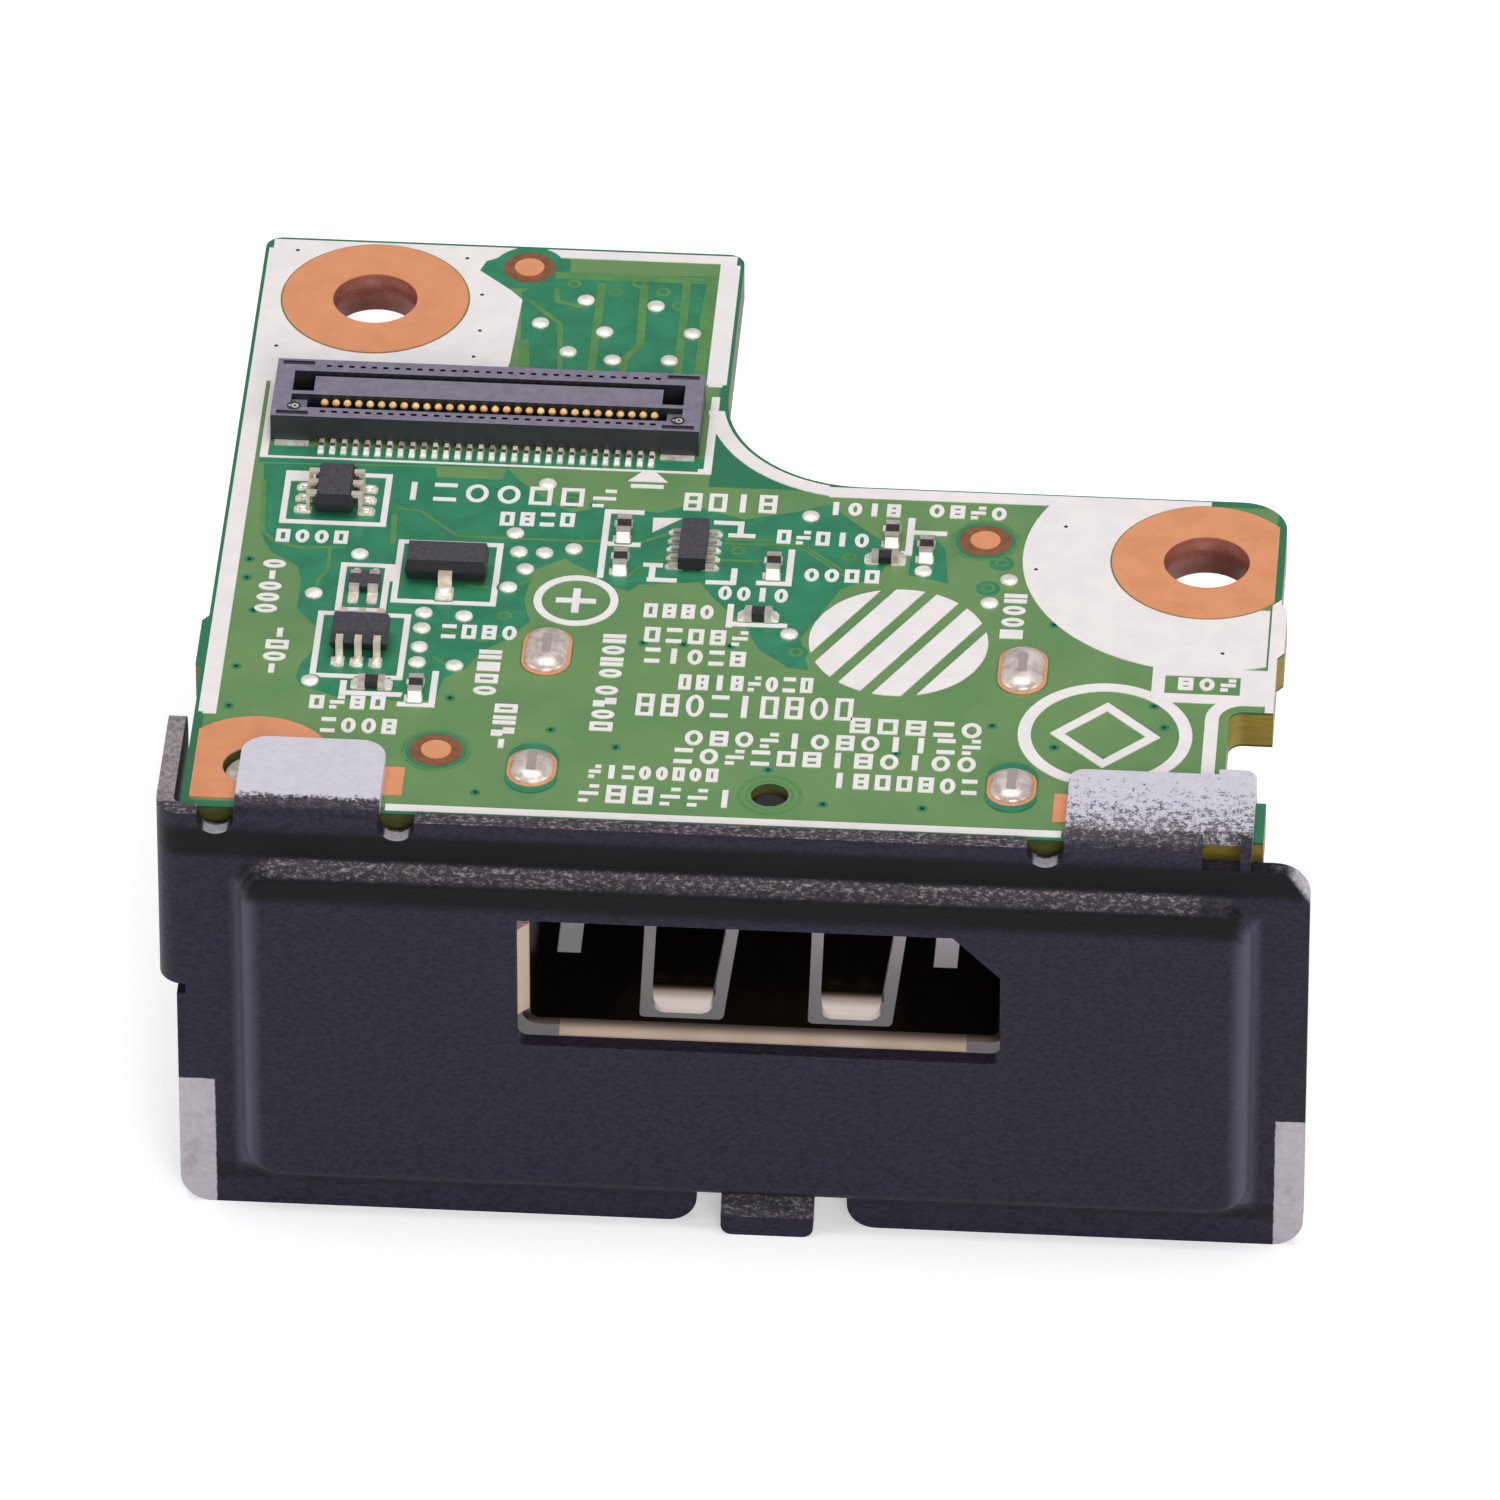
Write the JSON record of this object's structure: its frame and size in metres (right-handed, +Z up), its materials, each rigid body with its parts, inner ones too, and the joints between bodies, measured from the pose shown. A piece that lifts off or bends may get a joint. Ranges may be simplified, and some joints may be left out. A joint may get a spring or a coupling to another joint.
{
  "type": "displayport module",
  "caption": "Small circuit board with a shielded video port under its front edge, a board-to-board connector on top and a folded sheet-steel bracket round the port.",
  "frame": {"origin": "axis of the left screw hole at the board's upper face", "axes": "+Z up out of the board's upper face, +X to the right along the bracket as seen from the port's mouth, +Y from the bracket to the board's far edge"},
  "size_m": [0.0394, 0.0356, 0.0173],
  "materials": {
    "board": "satin solder mask",
    "copper": "bare copper",
    "print": "matt print",
    "solder": "tinned",
    "bracket": "textured black paint on zinc-plated steel",
    "shell": "plated",
    "insulator": "moulded",
    "contact": "gold-plated",
    "connector": "moulded",
    "steel": "tinned",
    "moulding": "moulded",
    "lead": "tinned",
    "chip": "matt"
  },
  "bodies": {
    "root": {"circuit_board": "board", "copper_lands": "copper", "white_print": "print", "tinned_vias": "solder", "mounting_bracket": "bracket", "port_shell": "shell", "port_insulator": "insulator", "port_contacts_upper": "contact", "port_contacts_lower": "contact", "shell_solder_joints": "solder", "board_connector_housing": "connector", "board_connector_near_contacts": "contact", "board_connector_far_contacts": "contact", "board_connector_hold_downs": "steel", "twin_transistor_a_body": "moulding", "twin_transistor_a_leads": "lead", "transistor_body": "moulding", "transistor_leads": "lead", "twin_transistor_b_body": "moulding", "twin_transistor_b_leads": "lead", "diode_array_body": "moulding", "diode_array_terminals": "lead", "resistor_network_body": "moulding", "resistor_network_terminals": "lead", "component_solder": "solder", "chip_1_body": "chip", "chip_1_caps": "lead", "chip_2_body": "chip", "chip_2_caps": "lead", "chip_3_body": "chip", "chip_3_caps": "lead", "chip_4_body": "chip", "chip_4_caps": "lead", "chip_5_body": "chip", "chip_5_caps": "lead", "chip_6_body": "chip", "chip_6_caps": "lead", "chip_7_body": "chip", "chip_7_caps": "lead", "chip_8_body": "chip", "chip_8_caps": "lead", "chip_9_body": "chip", "chip_9_caps": "lead"}
  },
  "joints": []
}
